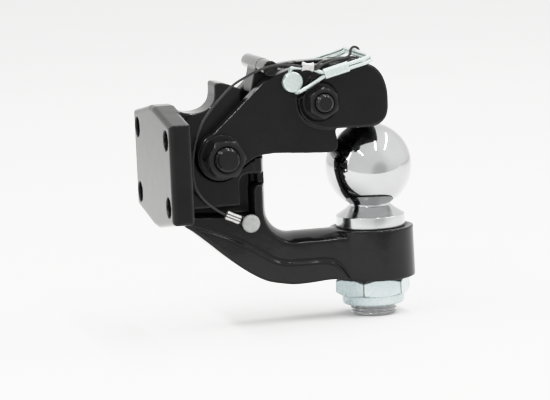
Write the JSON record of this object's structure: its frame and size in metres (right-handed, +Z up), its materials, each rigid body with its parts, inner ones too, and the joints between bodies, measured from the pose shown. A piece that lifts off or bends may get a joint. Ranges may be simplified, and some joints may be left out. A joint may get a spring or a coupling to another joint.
{
  "type": "combination ball and pintle hook",
  "caption": "Bolt-on tow hook: a hinged latching jaw closes over a throat for a drawbar eye, with a tow ball on the horn below and a captive safety pin.",
  "frame": {"origin": "centre of the bolt pattern on the mounting face", "axes": "+X away from the vehicle, +Z up, the lanyard and the nuts on the -Y side"},
  "size_m": [0.1789, 0.11, 0.183],
  "materials": {
    "black_paint": "gloss black paint on forged steel",
    "chrome": "polished chrome plate",
    "zinc": "bright zinc plate with a pale blue tint",
    "nylon": "natural nylon",
    "cable_steel": "stranded steel cable with a thin dark coat",
    "aluminium_crimp": "satin crimped aluminium"
  },
  "bodies": {
    "hook_body": {"body": "black_paint", "tow_ball": "chrome", "ball_nut": "zinc", "ball_nut_insert": "nylon", "jaw_pivot_bolt": "black_paint", "jaw_pivot_nut": "black_paint", "jaw_pivot_washers": "black_paint", "lanyard_rivet": "aluminium_crimp", "lanyard_lower_loop": "cable_steel", "lanyard_lower_sleeve": "aluminium_crimp", "lanyard_cable": "cable_steel"},
    "jaw": {"jaw": "black_paint", "latch_bolt": "black_paint", "latch_nut": "black_paint", "latch_washers": "black_paint"},
    "latch": {"latch_lever": "black_paint", "latch_handle_rod": "black_paint"},
    "safety_pin": {"safety_pin": "zinc", "safety_pin_bail": "zinc", "bail_clip": "zinc", "lanyard_upper_loop": "cable_steel", "lanyard_upper_sleeve": "aluminium_crimp"}
  },
  "joints": [
    {"name": "jaw_hinge", "type": "hinge", "parent": "hook_body", "child": "jaw", "pos_m": [0.0417, 0, 0.006], "axis": [0, -1, 0], "range_deg": [0, 50], "deforming": ["lanyard_cable", "lanyard_upper_loop"]},
    {"name": "latch_hinge", "type": "hinge", "parent": "jaw", "child": "latch", "pos_m": [0.1095, 0, 0.039], "axis": [0, 1, 0], "range_deg": [0, 25]},
    {"name": "bail_swing", "type": "hinge", "parent": "jaw", "child": "safety_pin", "pos_m": [0.092, 0, 0.0528], "axis": [0, -1, 0], "range_deg": [0, 45], "deforming": ["lanyard_cable", "lanyard_upper_loop"]}
  ],
  "couplings": [
    {"joint": "latch_hinge", "follows": "jaw_hinge", "ratio": 0.5}
  ]
}
